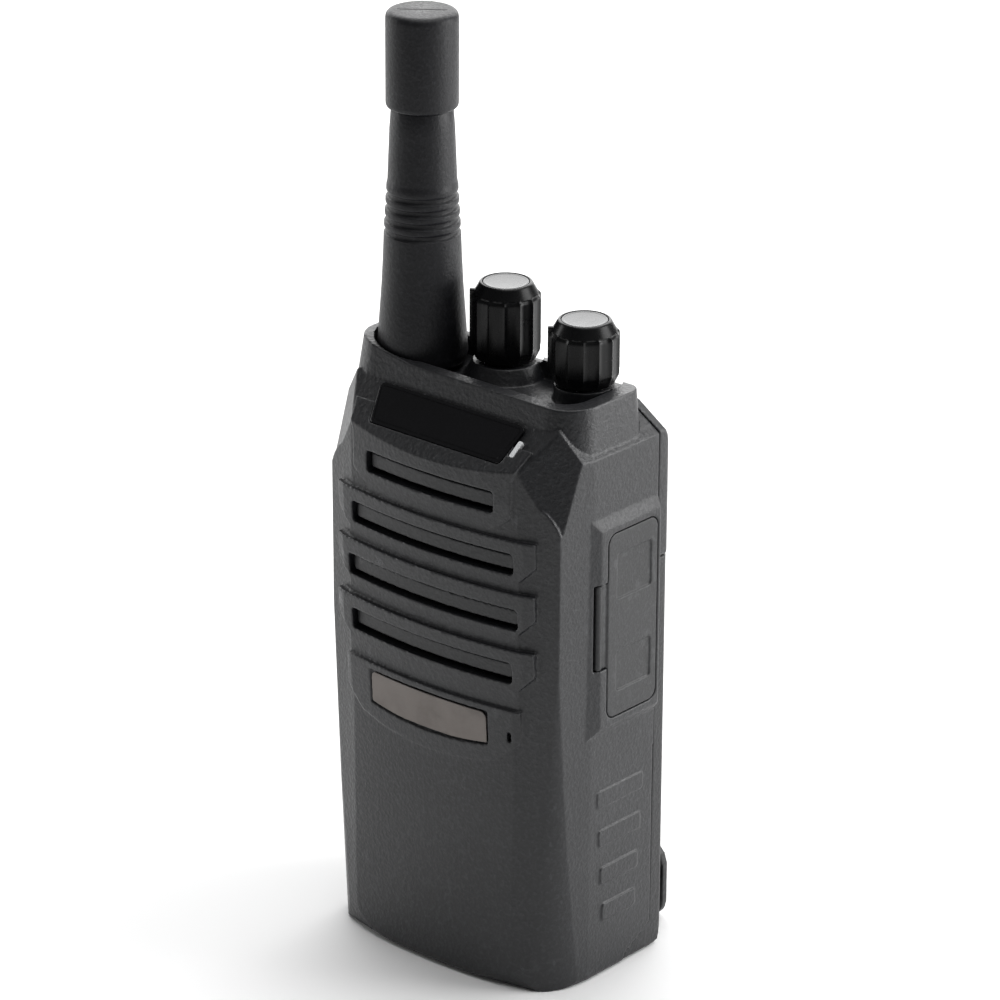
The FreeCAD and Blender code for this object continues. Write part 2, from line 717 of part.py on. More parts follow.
def front_housing():
    """Main moulding: front, sides, base and control deck in one open-backed shell."""
    rear = [(8.9, d.shoulder_z), (11.2, 108.9), (d.seam_y, 107), (d.seam_y, 6.0), (5.0, 2.0), (3.65, -3)]
    outer = case_form("case_outer", 0, d.shoulder_z, rear)
    inner = case_form("case_inner", d.wall, 110.2, [(20, 110.2), (20, -3)])
    facet = common("facet_right", facet_block("facet_plane", 0), prism("facet_outline", "XZ", -26, 12, [
        (19.6, 101.4), (19.6, 104), (23.2, 113.4), (23.2, 125), (36, 125), (36, 91.5), (28.9, 91.5),
        Bulge(11)]))
    inner_facet = facet_block("facet_inner", 2.0)
    hollow = cut("case_hollow", inner, inner_facet, mirrored("facet_inner_left", inner_facet))
    faceted = cut("case_faceted", fuse("case_body", outer, deck_block()), facet, mirrored("facet_left", facet))
    bars = [head_panel(), badge_bar()]
    bars += [speaker_bar(f"bar_{i}", *levels) for i, levels in enumerate(BARS)]
    ribs = grip_ribs()
    ribs += [mirrored(rib.Name + "_left", rib) for rib in ribs]
    solid = fuse("case_solid", faceted, jack_frame(), *bars, *ribs)
    hollowed = cut("case_hollowed", solid, hollow)
    bosses = [rod(f"boss_{i}", 2.6, "Y", x, y, z, d.chassis_y - y) for i, (x, z, y) in enumerate(SCREWS)]
    pilots = [rod(f"pilot_{i}", 0.85, "Y", x, -10.0, z, 20) for i, (x, z, y) in enumerate(SCREWS)]
    spring_rib = box("spring_rib", -3, 3, -13.4, -12.1, 1.6, 6)
    slots = [prism(f"slot_{i}", "XZ", -24, -12, rectangle(-half, half, top - d.slot_height, top, 0.8))
             for i, (half, top) in enumerate(SLOTS)]
    plate_seat = on_slope(prism("plate_seat", "XY", 0, 4, name_plate_outline(0.15)), 0, -0.75)
    lens_hole = on_slope(prism("lens_hole", "XY", 0, 9, lens_outline(0.05)), 0, -5.0)
    badge_recess = cut("badge_recess", prism("badge_seat", "XZ", -24, -14, badge_outline(0.35)),
                       badge_face("badge_floor", 0.55))
    bush_holes = [rod(f"bush_hole_{i}", d.bush_r + 0.1, "Z", x, d.knob_y, 100, 20)
                  for i, x in enumerate((d.channel_x, d.volume_x))]
    antenna_hole = rod("antenna_hole", 4.1, "Z", d.antenna_x, d.antenna_y, 100, 20)
    mic_hole = prism("mic_hole", "XZ", -24, -12, rectangle(18.85, 19.75, 51.7, 53.7, 0.4))
    latch_slot = box("latch_slot", -8.2, 8.2, -7.0, 6.0, -1, 3)
    decked = fuse("case_decked", cut("case_tray", hollowed, *deck_recess()), control_collars(),
                  spring_rib, *bosses)
    openings = [*jack_openings(), *slots, *pilots, *button_openings(), *bush_holes, plate_seat, lens_hole,
                badge_recess, antenna_hole, mic_hole, latch_slot]
    as_node(cut("front_shell", decked, *openings), "front_housing")


# ---------------------------------------------------------------- front trim and speaker


def name_plate():
    body = new_body("name_plate")
    pad(body, "XY", 0, 0.65, name_plate_outline(0))
    on_slope(body, 0, -0.7)


def led_lens():
    body = new_body("led_lens")
    pad(body, "XY", 0, 3.3, lens_outline(0))
    on_slope(body, 0, -3.4)


def lower_badge():
    plate = common("badge_plate", prism("badge_blank", "XZ", -24, -14, badge_outline(0)),
                   badge_face("badge_outer", 0.08))
    as_node(cut("badge", plate, badge_face("badge_inner", 0.5)), "lower_badge")


def grille_insert():
    """Louvres that fill the speaker slots, joined by a pierced plate behind the wall."""
    louvres = []
    for i, (half, top) in enumerate(SLOTS):
        length = half - d.slot_gap
        louvres.append(prism(f"louvre_{i}", "XZ", -21, -15.5, rectangle(
            -length, length, top - d.slot_height + 0.85, top - 0.6, 0.5)))
    shaped = common("louvre_set", group("louvre_blanks", *louvres), front_curve("louvre_face", 0.5))
    plate = box("grille_plate", -18.8, 18.8, -15.7, -14.95, 62.6, 101.6)
    holes = [prism(f"sound_hole_{i}", "XZ", -17, -14, rectangle(-half + 3, half - 3, top - 4.2, top - 3.2))
             for i, (half, top) in enumerate(SLOTS)]
    as_node(cut("grille", fuse("grille_solid", shaped, plate), *holes), "grille_insert")


def speaker():
    turn = Rotation(ALONG["X"], 90)
    spot = (0, 0)
    frame = turned("speaker_basket", *spot, [
        (15.6, 14.4), (15.6, 13.4), (9.4, 11.4), (9.4, 9.0), (0, 9.0), (0, 8.2), (10.6, 8.2), (10.6, 10.6),
        (17.6, 12.6), (17.6, 14.4)], d.speaker_z, turn)
    turned("speaker_cone", *spot, [
        (0, 13.2), (0, 12.7), (4.2, 11.9), (15.2, 13.7), (15.2, 14.0), (6.0, 12.8)], d.speaker_z, turn)
    turned("speaker_mesh", *spot, [(0, 14.5), (17.5, 14.5), (17.5, 14.85), (0, 14.85)], d.speaker_z, turn)
    return frame


def microphone():
    turn = Rotation(ALONG["X"], 90)
    turned("microphone", MIC_X, 0, [(0, 11.9), (2.3, 11.9), (2.3, 14.0), (0, 14.0)], MIC_Z, turn)
    turned("microphone_boot", MIC_X, 0, [
        (0, 11.2), (3.2, 11.2), (3.2, 14.2), (2.35, 14.2), (2.35, 11.85), (0, 11.85)], MIC_Z, turn)


# ---------------------------------------------------------------- chassis and electronics


def chassis():
    """Die-cast plate that closes the front housing and carries the boards, with a shelf over the battery."""
    back = d.chassis_y + d.chassis_thick
    plate = prism("chassis_plate", "XZ", d.chassis_y, back, [
        (-25.5, 4.4, 3), (25.5, 4.4, 3), (25.5, 99, 1), (-25.5, 99, 1)])
    shelf = box("chassis_shelf", -25.2, 25.2, back, 12.0, 79.9, 81.3)
    window = box("chassis_window", -6, 14, 3, 7, 86, 95)
    holes = [rod(f"chassis_hole_{i}", 1.0, "Y", x, 3, z, 5) for i, (x, z, y) in enumerate(SCREWS)]
    sinks = []
    for i, (x, z, y) in enumerate(SCREWS):
        sink = doc.addObject("Part::Cone", f"chassis_sink_{i}")
        sink.Radius1 = 0.95
        sink.Radius2 = 2.0
        sink.Height = 1.1
        place(sink, x, back - 1.05, z, Rotation(ALONG["X"], -90))
        sinks.append(sink)
    pins = [rod(f"chassis_pin_{i}", 0.9, "Y", x, 4, 72, 3) for i, x in enumerate((-8, 0, 8))]
    as_node(cut("chassis_cut", fuse("chassis_solid", plate, shelf), window, *holes, *sinks, *pins), "chassis")


def case_screws():
    """Six M2 countersunk screws that hold the chassis to the front housing."""
    screws = []
    for i, (x, z, y) in enumerate(SCREWS):
        shank = rod(f"screw_shank_{i}", 0.8, "Y", x, -8.5, z, 13.6)
        head = doc.addObject("Part::Cone", f"screw_head_{i}")
        head.Radius1 = 0.8
        head.Radius2 = 1.85
        head.Height = 1.0
        place(head, x, d.chassis_y + d.chassis_thick - 1.05, z, Rotation(ALONG["X"], -90))
        screws.append(fuse(f"screw_{i}", shank, head))
    as_node(group("screw_set", *screws), "case_screws")


def main_seal():
    """Rubber cord seal around the chassis plate."""
    outer = prism("seal_outer", "XZ", 4.6, 5.6, [
        (-26.05, 3.4, 3.4), (26.05, 3.4, 3.4), (26.05, 99.9, 1.2), (-26.05, 99.9, 1.2)])
    inner = prism("seal_inner", "XZ", 4, 6, [
        (-25.55, 4.35, 3), (25.55, 4.35, 3), (25.55, 99.05, 1), (-25.55, 99.05, 1)])
    as_node(cut("seal_ring", outer, inner), "main_seal")


def boards():
    main = new_body("main_board")
    board_rear = d.board_y + d.board_thick
    pad(main, "XZ", d.board_y, board_rear, rectangle(-19, 19, 8, 102, 1))
    pocket(main, "XZ", d.board_y - 1, board_rear + 1, rectangle(-15, 15, 3, 10))
    can = new_body("shield_can")
    pad(can, "XZ", board_rear + 0.05, board_rear + 2.6, rectangle(-15, 12, 22, 58, 1))
    pocket(can, "XZ", board_rear - 0.5, board_rear + 2.2, rectangle(-14.6, 11.6, 22.4, 57.6, 0.8))
    side = new_body("button_board")
    pad(side, "YZ", -21.4, -20.4, rectangle(-4.0, 3.6, 38.5, 92.5, 0.5))
    switches = [box(f"switch_{i}", -24.3, -21.45, -2.5, 2.1, (low + high) / 2 - 2.3, (low + high) / 2 + 2.3)
                for i, (name, low, high, travel) in enumerate(BUTTONS)]
    as_node(group("switch_set", *switches), "button_switches")
    pins = [rod(f"contact_pin_{i}", 0.8, "Y", x, -3.9, 72, 9.9) for i, x in enumerate((-8, 0, 8))]
    as_node(group("pin_set", *pins), "radio_contacts")


def jacks():
    for label, z, bore in (("speaker_jack", d.speaker_jack_z, d.speaker_jack_r),
                           ("microphone_jack", d.mic_jack_z, d.mic_jack_r)):
        sleeve = ring(label + "_sleeve", 3.0, bore, "X", 16.0, d.jack_y, z, d.jack_mouth_x - 16.0)
        stop = rod(label + "_stop", 3.0, "X", 14.8, d.jack_y, z, 1.2)
        as_node(fuse(label + "_body", sleeve, stop), label)


# ---------------------------------------------------------------- antenna


GROOVES = 4
GROOVE_Z = 139.0
GROOVE_PITCH = 2.37


def antenna():
    foot, neck, top = d.antenna_foot_z, d.antenna_neck_z, d.antenna_top_z
    x, y = d.antenna_x, d.antenna_y
    turned("antenna_connector", x, y, [
        (d.stud_r + d.running_gap, 104.0), (4.0, 104.0), (4.0, 107.4), (5.6, 107.4), (5.6, 109.9), (4.0, 109.9),
        (4.0, 112.9), (d.stud_r + d.running_gap, 112.9)])
    turned("antenna_seal", x, y, [(4.3, 113.05), (6.5, 113.05), (6.5, 113.65), (4.3, 113.65)])
    turned("antenna_ferrule", x, y, [
        (0.85, 105.5), (2.1, 105.5), (d.stud_r, 105.9), (d.stud_r, 118.6), (0.85, 118.6)])
    turned("antenna_radiator", x, y, [(0, 106.5), (0.8, 106.5), (0.8, 158.0), (0, 158.0)])
    groove_depth, shrink = 0.45, 0.06
    profile = [(d.stud_r + 0.05, foot), (7.7, foot), (d.antenna_foot_r, foot + 1.9), (8.0, 124.0),
               (7.65, 129.0), (7.4, 134.0), (7.22, GROOVE_Z - 0.1)]
    for i in range(GROOVES):
        z = GROOVE_Z + GROOVE_PITCH * i
        r = 7.22 - shrink * GROOVE_PITCH * i
        floor = r - groove_depth
        profile += [(floor, z + 0.3), (floor, z + 1.1), (r - 0.06, z + 1.35),
                    (r - 0.1, z + GROOVE_PITCH - 0.05)]
    profile += [(6.5, 149.3), (6.1, 159.4), (d.antenna_neck_r - 0.3, neck - 0.05), (0.85, neck - 0.05),
                (0.85, 118.7), (d.stud_r + 0.05, 118.7)]
    turned("antenna_sheath", x, y, profile)
    turned("antenna_cap", x, y, [
        (0, neck), (d.antenna_cap_r, neck, 0.5), (d.antenna_cap_r, top, 1.0), (0, top)])


# ---------------------------------------------------------------- knobs and controls


def control(name, x, top, device):
    """Fluted knob with its disc, shaft and the device that it turns."""
    base = d.knob_base_z
    flute_top = top - 3.3
    knob = turned(name + "_knob", x, d.knob_y, [
        (d.shaft_r, base), (5.4, base), (d.knob_r, base + 2.2), (d.knob_r, flute_top), (6.2, flute_top + 0.9),
        (5.0, top - 0.2), (4.7, top), (4.45, top), (4.45, top - 0.5), (d.shaft_r, top - 0.5)])
    fluted(knob, 14, d.knob_r + 1.35, 1.7, base - 1, flute_top + 1.2)
    turned(name + "_knob_disc", x, d.knob_y, [
        (0, top - 0.45), (4.4, top - 0.45), (4.4, top - 0.1), (0, top - 0.1)])
    turned(name + "_shaft", x, d.knob_y, [
        (0, 104.0), (d.shaft_r, 104.0), (d.shaft_r, top - 0.55), (0, top - 0.55)])
    bore = d.shaft_r + d.running_gap
    turned(device, x, d.knob_y, [
        (bore, 103.0), (5.4, 103.0), (5.4, 109.7), (d.bush_r, 109.7), (d.bush_r, 115.0), (bore, 115.0)])


def controls():
    control("channel", d.channel_x, d.channel_top_z, "channel_switch")
    control("volume", d.volume_x, d.volume_top_z, "volume_control")
    nuts = []
    for i, x in enumerate((d.channel_x, d.volume_x)):
        turns = [math.radians(60 * k) for k in range(6)]
        corners = [(x + 3.5 * math.cos(turn), d.knob_y + 3.5 * math.sin(turn)) for turn in turns]
        blank = prism(f"nut_blank_{i}", "XY", d.deck_z + 0.02, d.deck_z + 1.6, corners)
        nuts.append(cut(f"nut_{i}", blank, rod(f"nut_bore_{i}", d.bush_r + 0.02, "Z", x, d.knob_y, 110, 8)))
    as_node(group("nut_set", *nuts), "control_nuts")


def side_buttons():
    """Talk button and two small buttons, each with a flange that keeps it in the wall."""
    for name, low, high, travel in BUTTONS:
        body = new_body(name)
        face = -30.0 if name == "talk_button" else -29.4
        flange = -26.45 if name == "talk_button" else -26.2
        pad(body, "YZ", face, flange, rectangle(BUTTON_FRONT, BUTTON_REAR, low, high, 2.0))
        pad(body, "YZ", flange, flange + 0.7, rectangle(
            BUTTON_FRONT - 0.7, BUTTON_REAR + 0.7, low - 0.7, high + 0.7, 2.4))
        middle = (low + high) / 2
        pad(body, "YZ", flange + 0.7, -24.4 - travel, rectangle(-1.6, 1.2, middle - 1.5, middle + 1.5))


def jack_cover():
    """Rubber cover with two sunk panels, hung on a strap that ends in a rolled edge."""
    plate = prism("cover_plate", "YZ", d.cover_x, d.cover_face_x, rectangle(
        d.cover_front_y, d.cover_rear_y, d.cover_low_z, d.cover_high_z, 2.0))
    strap = box("cover_strap", d.cover_x, 29.5, d.hinge_y, -1.0, 64.75, 81.75)
    roll = rod("cover_roll", d.hinge_r, "Z", d.hinge_x, d.hinge_y, 64.75, 17.0)
    panels = [prism(f"cover_panel_{i}", "YZ", d.cover_face_x - 0.3, 31, rectangle(-0.4, 9.6, low, high, 0.8))
              for i, (low, high) in enumerate(((59.0, 67.3), (77.6, 86.9)))]
    as_node(cut("cover", fuse("cover_solid", plate, strap, roll), *panels), "jack_cover")


# ---------------------------------------------------------------- rear housing, battery and latch


def rear_block(name, inset, profile):
    """Block behind the seam, shrunk by inset, with rounded rear corners."""
    plan = prism(name + "_plan", "XY", -4, 124, [
        (inset - 29.4, -30), (29.4 - inset, -30), (29.4 - inset, 17.7 - inset, 5 - inset),
        (inset - 29.4, 17.7 - inset, 5 - inset)])
    return common(name, case_sides(name, inset + 0.1, 20), silhouette(name, inset, 116.0), plan,
                  prism(name + "_side", "YZ", -32, 32, profile))


def rear_housing():
    """Upper back moulding above the battery."""
    outer = rear_block("rear_outer", 0.0, [
        (12.4, 81.9), (17.5, 81.9), (17.0, 93), (15.6, 104.6), (11.3, d.shoulder_z), (9.15, d.shoulder_z),
        (11.42, 108.95), (12.4, 107.1)])
    inner = rear_block("rear_inner", 1.7, [
        (3, 84.1), (15.75, 84.1), (15.3, 92.9), (13.9, 103.9), (10.6, 110.6), (3, 110.6)])
    groove = rod("pivot_groove", 1.25, "X", -20.6, d.pivot_y, d.pivot_z, 41.2)
    as_node(cut("rear_shell", outer, inner, groove), "rear_housing")


def battery():
    outer = rear_block("battery_outer", 0.15, [
        (4.75, 0.15), (5.25, 1.85), (12.4, 5.9), (12.4, d.pivot_z), (16.2, d.pivot_z), (17.15, 80.7),
        (17.2, 77), (16.5, 71), (16.5, 48), (15.9, 26), (16.2, 6), (15.2, 1), (14, 0.15)])
    ridge = rod("pivot_ridge", 1.1, "X", -20.3, d.pivot_y, d.pivot_z, 40.6)
    cavity = box("cover_cavity", -22.9, 22.9, 10, 14.9, 9.3, 77.7)
    holes = [rod(f"cover_hole_{i}", 0.85, "Y", 0, 13, z, 6) for i, z in enumerate((53.0, 67.0))]
    pads = [rod(f"charge_hole_{i}", 1.5, "Y", x, 15.6, 13.0, 3) for i, x in enumerate((-6, 6))]
    as_node(cut("cover_shell", fuse("battery_solid", outer, ridge), cavity, *holes, *pads), "battery_cover")
    tub = new_body("battery_tub")
    pad(tub, "XZ", 6.5, 12.36, rectangle(-24, 24, 8, 79, 1.5))
    pocket(tub, "XZ", 7.5, 13, rectangle(-22.8, 22.8, 9.2, 77.8, 1))
    cells = [box(f"cell_{i}", x, x + 22.1, 7.6, 14.7, 10, 76.5) for i, x in enumerate((-22.4, 0.3))]
    as_node(group("cell_set", *cells), "battery_cells")
    front = [box(f"battery_pad_{i}", x - 1.8, x + 1.8, 6.1, 6.48, 70, 74) for i, x in enumerate((-8, 0, 8))]
    rear = [rod(f"charge_pad_{i}", 1.45, "Y", x, 15.65, 13.0, 0.45) for i, x in enumerate((-6, 6))]
    as_node(group("pad_set", *front, *rear), "battery_contacts")


def latch():
    """Sliding latch in the base with its return spring."""
    body = new_body("battery_latch")
    pad(body, "XY", 0.3, 2.15, rectangle(-8, 8, -4.5, 4.3))
    pad(body, "XY", 2.15, 3.0, rectangle(-9.4, 9.4, -5.3, 3.4))
    pad(body, "XY", 3.0, 5.6, rectangle(-2.2, 2.2, -5.3, -4.3))
    for y in (-3.6, -2.2, -0.8):
        pocket(body, "XY", 0, 0.7, rectangle(-5, 5, y, y + 0.6))
    as_node(ring("latch_coil", 1.2, 0.8, "Y", 0, -12.05, 4.3, 6.7), "latch_spring")


# ---------------------------------------------------------------- belt clip


def clip_profile():
    """The tongue seen from the side: thumb lever, shank, nub against the battery, flared lip."""
    return [(23.1, 66), (23.1, 60.0), (22.4, 43.0), (17.3, 33.6), (16.7, 31.2, 0.9), (17.6, 29.4), (24.0, 11.0),
            (24.0, 0.6, 0.4), (25.3, 0.6, 0.5), (25.3, 11.6), (19.6, 29.6), (20.2, 33.0), (24.7, 42.0),
            (25.5, 60.0), (25.7, 76.3, 0.9), (23.6, 76.3, 0.6)]


def belt_clip():
    y, z, r = d.clip_axis_y, d.clip_axis_z, d.clip_pin_r
    plate = prism("bracket_plate", "XZ", 16.56, 18.0, rectangle(-10, 10, 50, 70, 2))
    ears = []
    for i, x in enumerate((-8.9, 6.8)):
        ears.append(box(f"ear_{i}", x, x + 2.1, 17.5, y, z - 1.6, z + 1.6))
        ears.append(rod(f"ear_round_{i}", 1.6, "X", x, y, z, 2.1))
    holes = [rod("ear_hole", r + 0.02, "X", -12, y, z, 24)]
    holes += [rod(f"bracket_hole_{i}", 0.95, "Y", 0, 15, zz, 6) for i, zz in enumerate((53.0, 67.0))]
    as_node(cut("bracket", fuse("bracket_solid", plate, *ears), *holes), "clip_bracket")
    screws = [fuse(f"clip_screw_{i}", rod(f"clip_shank_{i}", 0.8, "Y", 0, 15.05, zz, 3),
                   rod(f"clip_head_{i}", 1.9, "Y", 0, 18.02, zz, 0.9)) for i, zz in enumerate((53.0, 67.0))]
    as_node(group("clip_screw_set", *screws), "clip_screws")
    as_node(rod("pin", r, "X", -11.4, y, z, 22.8), "clip_pin")
    as_node(ring("coil", 1.7, r + 0.15, "X", -5, y, z, 10), "clip_spring")
    side = prism("tongue_side", "YZ", -23, 23, clip_profile())
    rear = prism("tongue_rear", "XZ", 12, 34, [
        (-11.5, 77, 3), (-12, 58), (-13, 32), (-22.3, 14), (-22.3, -0.5, 4), (22.3, -0.5, 4), (22.3, 14),
        (13, 32), (12, 58), (11.5, 77, 3)])
    lugs = []
    for i, x in enumerate((-11.3, 9.1)):
        lugs.append(box(f"lug_{i}", x, x + 2.2, y, 23.6, z - 2.2, z + 2.2))
        lugs.append(rod(f"lug_round_{i}", 2.2, "X", x, y, z, 2.2))
    bore = rod("lug_bore", r + d.running_gap, "X", -12, y, z, 24)
    tongue = cut("tongue", fuse("tongue_solid", common("tongue_plate", side, rear), *lugs), bore)
    as_node(tongue, "clip_tongue")


# ---------------------------------------------------------------- build, check and write


def check():
    for feature in doc.Objects:
        if "Invalid" in feature.State or "Error" in feature.State:
            raise RuntimeError(f"{feature.Label} failed: {feature.State}")
    for feature in nodes:
        if feature.Shape.isNull() or not feature.Shape.isValid():
            raise RuntimeError(f"{feature.Label} is not a valid shape")


front_housing()
name_plate()
led_lens()
lower_badge()
grille_insert()
speaker()
microphone()
chassis()
case_screws()
main_seal()
boards()
jacks()
antenna()
controls()
side_buttons()
jack_cover()
rear_housing()
battery()
latch()
belt_clip()
doc.recompute()
check()
os.makedirs("parts", exist_ok=True)
for feature in nodes:
    feature.Shape.exportStep(f"parts/{feature.Label}.step")
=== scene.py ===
"""Looks of the two-way radio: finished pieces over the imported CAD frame, materials, light and camera."""

import math

import bmesh
import bpy
from mathutils import Matrix, Vector


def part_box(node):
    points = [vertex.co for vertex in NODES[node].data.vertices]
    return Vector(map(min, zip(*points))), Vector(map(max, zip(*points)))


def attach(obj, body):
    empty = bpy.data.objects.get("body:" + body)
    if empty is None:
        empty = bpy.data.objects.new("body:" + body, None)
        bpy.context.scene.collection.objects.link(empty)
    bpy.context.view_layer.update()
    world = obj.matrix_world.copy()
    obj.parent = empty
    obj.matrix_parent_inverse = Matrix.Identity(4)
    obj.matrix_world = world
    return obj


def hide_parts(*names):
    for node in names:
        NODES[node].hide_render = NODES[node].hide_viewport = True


MM = 0.001
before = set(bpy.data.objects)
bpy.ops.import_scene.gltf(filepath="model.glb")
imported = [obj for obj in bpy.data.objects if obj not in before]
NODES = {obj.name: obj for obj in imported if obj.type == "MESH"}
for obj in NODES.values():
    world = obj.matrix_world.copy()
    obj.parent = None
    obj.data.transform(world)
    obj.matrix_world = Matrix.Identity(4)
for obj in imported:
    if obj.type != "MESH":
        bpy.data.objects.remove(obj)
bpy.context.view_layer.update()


# ---------------------------------------------------------------- node-graph helpers


class Graph:
    """Small helper that builds a material's node graph."""

    def __init__(self, name):
        self.material = bpy.data.materials.new(name)
        self.material.use_nodes = True
        self.tree = self.material.node_tree
        self.tree.nodes.clear()
        self.out = self.add("ShaderNodeOutputMaterial")
        self.shader = self.add("ShaderNodeBsdfPrincipled")
        self.link(self.shader.outputs["BSDF"], self.out.inputs["Surface"])
        self.place = self.add("ShaderNodeTexCoord").outputs["Object"]

    def add(self, kind, **settings):
        node = self.tree.nodes.new(kind)
        for key, value in settings.items():
            setattr(node, key, value)
        return node

    def link(self, source, target):
        self.tree.links.new(source, target)

    def feed(self, target, value):
        if isinstance(value, bpy.types.NodeSocket):
            self.link(value, target)
        else:
            target.default_value = value

    def set(self, **inputs):
        for key, value in inputs.items():
            self.feed(self.shader.inputs[key.replace("_", " ")], value)

    def scaled(self, x, y, z):
        node = self.add("ShaderNodeMapping")
        self.link(self.place, node.inputs["Vector"])
        node.inputs["Scale"].default_value = (x, y, z)
        return node.outputs["Vector"]

    def noise(self, size_mm, detail=2.0, roughness=0.5, vector=None):
        node = self.add("ShaderNodeTexNoise")
        self.link(vector or self.place, node.inputs["Vector"])
        node.inputs["Scale"].default_value = 1000.0 / size_mm
        node.inputs["Detail"].default_value = detail
        node.inputs["Roughness"].default_value = roughness
        return node.outputs["Fac"]

    def cells(self, size_mm):
        node = self.add("ShaderNodeTexVoronoi")
        self.link(self.place, node.inputs["Vector"])
        node.inputs["Scale"].default_value = 1000.0 / size_mm
        return node.outputs["Distance"]

    def math(self, operation, a, b):
        node = self.add("ShaderNodeMath", operation=operation)
        for socket, value in zip(node.inputs, (a, b)):
            self.feed(socket, value)
        return node.outputs[0]

    def spread(self, value, low, high, to_low, to_high):
        node = self.add("ShaderNodeMapRange")
        for socket, item in zip(node.inputs, (value, low, high, to_low, to_high)):
            self.feed(socket, item)
        return node.outputs[0]

    def blend(self, factor, first, second):
        node = self.add("ShaderNodeMix", data_type="RGBA")
        self.feed(node.inputs[0], factor)
        self.feed(node.inputs[6], first)
        self.feed(node.inputs[7], second)
        return node.outputs[2]

    def bump(self, height, depth_mm):
        node = self.add("ShaderNodeBump")
        node.inputs["Strength"].default_value = 1.0
        node.inputs["Distance"].default_value = depth_mm * MM
        self.feed(node.inputs["Height"], height)
        return node.outputs["Normal"]

    def edges(self):
        """Convexity of the surface: near 0.5 on flats, higher on convex edges and lower in creases."""
        return self.add("ShaderNodeNewGeometry").outputs["Pointiness"]


def rgb(r, g, b):
    return (r, g, b, 1.0)


def shaded(colour, factor):
    return tuple(min(1.0, c * factor) for c in colour[:3]) + (1.0,)


def moulded(name, base, light, rough, grain_mm, grain_depth, specular=0.5):
    """Moulded plastic or rubber: spark-eroded grain, painted shade in creases, rubbed edges with a painted
    highlight, and slow mottling.
    """
    g = Graph(name)
    grain = g.noise(grain_mm, 2.5, 0.6)
    pits = g.cells(grain_mm * 1.7)
    cloud = g.noise(14.0, 3.0, 0.55)
    handling = g.noise(38.0, 2.0, 0.5)
    height = g.math("ADD", g.math("MULTIPLY", grain, 0.65), g.math("MULTIPLY", pits, 0.35))
    # convex edges: partly rubbing wear, partly a painted highlight where edges catch the light
    wear_and_edge_highlight = g.spread(g.edges(), 0.515, 0.58, 0.0, 1.0)
    wear_and_edge_highlight = g.math("MULTIPLY", wear_and_edge_highlight, g.spread(handling, 0.35, 0.65, 0.4, 1.0))
    # painted shade: creases and hollows darken towards black and lose specular reflection
    crease = g.spread(g.edges(), 0.40, 0.487, 0.35, 1.0)
    tint = g.blend(g.spread(cloud, 0.3, 0.7, 0.0, 1.0), base, light)
    pale = shaded(light, 2.6)
    tint = g.blend(g.math("MULTIPLY", g.spread(height, 0.5, 0.72, 0.0, 1.0), 0.4), tint, pale)
    # edges lightened towards pale: rubbing wear and painted highlight
    tint = g.blend(g.math("MULTIPLY", wear_and_edge_highlight, 0.55), tint, pale)
    # painted shade in creases
    tint = g.blend(crease, rgb(0.002, 0.002, 0.002), tint)
    rougher = g.spread(grain, 0.3, 0.7, rough + 0.06, rough - 0.06)
    rougher = g.math("SUBTRACT", rougher, g.math("MULTIPLY", wear_and_edge_highlight, 0.12))
    rougher = g.math("ADD", rougher, g.spread(handling, 0.3, 0.7, -0.04, 0.04))
    g.set(Base_Color=tint, Roughness=rougher, IOR=1.49, Normal=g.bump(height, grain_depth))
    # painted shade on reflections: specular fades in creases
    g.set(Specular_IOR_Level=g.math("MULTIPLY", crease, specular))
    return g.material


def polished(name, base, rough, scratch, coat, specular):
    """Glossy moulding: faint flow marks, hairline scratches and dust-dulled patches."""
    g = Graph(name)
    flow = g.noise(9.0, 2.0, 0.5)
    hair = g.noise(0.6, 4.0, 0.7, g.scaled(1.0, 0.06, 0.35))
    dust = g.noise(2.5, 5.0, 0.7)
    tint = g.blend(g.spread(flow, 0.3, 0.7, 0.0, 1.0), base, shaded(base, 1.35))
    rougher = g.math("ADD", g.spread(hair, 0.4, 0.8, rough, rough + scratch * 2),
                     g.spread(dust, 0.55, 0.8, 0.0, 0.08))
    g.set(Base_Color=tint, Roughness=rougher, IOR=1.5, Normal=g.bump(hair, 0.002),
          Specular_IOR_Level=specular, Coat_Weight=coat, Coat_Roughness=0.06)
    return g.material


def metal(name, base, rough, brush=(1.0, 1.0, 1.0), brush_mm=0.4, mark=0.25):
    """Metal with drawn or cast marks; brush squeezes the marks along one axis."""
    g = Graph(name)
    lines = g.noise(brush_mm, 3.0, 0.6, g.scaled(*brush))
    stain = g.noise(6.0, 4.0, 0.6)
    tint = g.blend(g.spread(stain, 0.35, 0.7, 0.0, 1.0), base, shaded(base, 0.86))
    tint = g.blend(g.spread(lines, 0.3, 0.7, 0.0, mark), tint, shaded(base, 1.5))
    rougher = g.math("ADD", g.spread(lines, 0.3, 0.7, rough - 0.06, rough + 0.1),
                     g.spread(stain, 0.5, 0.8, 0.0, 0.1))
    g.set(Base_Color=tint, Roughness=rougher, Metallic=1.0, Normal=g.bump(lines, 0.006))
    return g.material


def board(name):
    """Circuit board: solder resist over copper tracks in a right-angled maze."""
    g = Graph(name)
    maze = g.add("ShaderNodeTexBrick")
    g.link(g.scaled(1000.0, 1000.0, 1000.0), maze.inputs["Vector"])
    maze.inputs["Scale"].default_value = 0.6
    maze.inputs["Mortar Size"].default_value = 0.08
    tracks = maze.outputs["Fac"]
    cloud = g.noise(5.0, 2.0)
    resist = g.blend(cloud, rgb(0.012, 0.085, 0.035), rgb(0.02, 0.13, 0.055))
    g.set(Base_Color=g.blend(g.math("MULTIPLY", tracks, 0.6), resist, rgb(0.06, 0.24, 0.09)), Roughness=0.35,
          Normal=g.bump(tracks, 0.03))
    return g.material


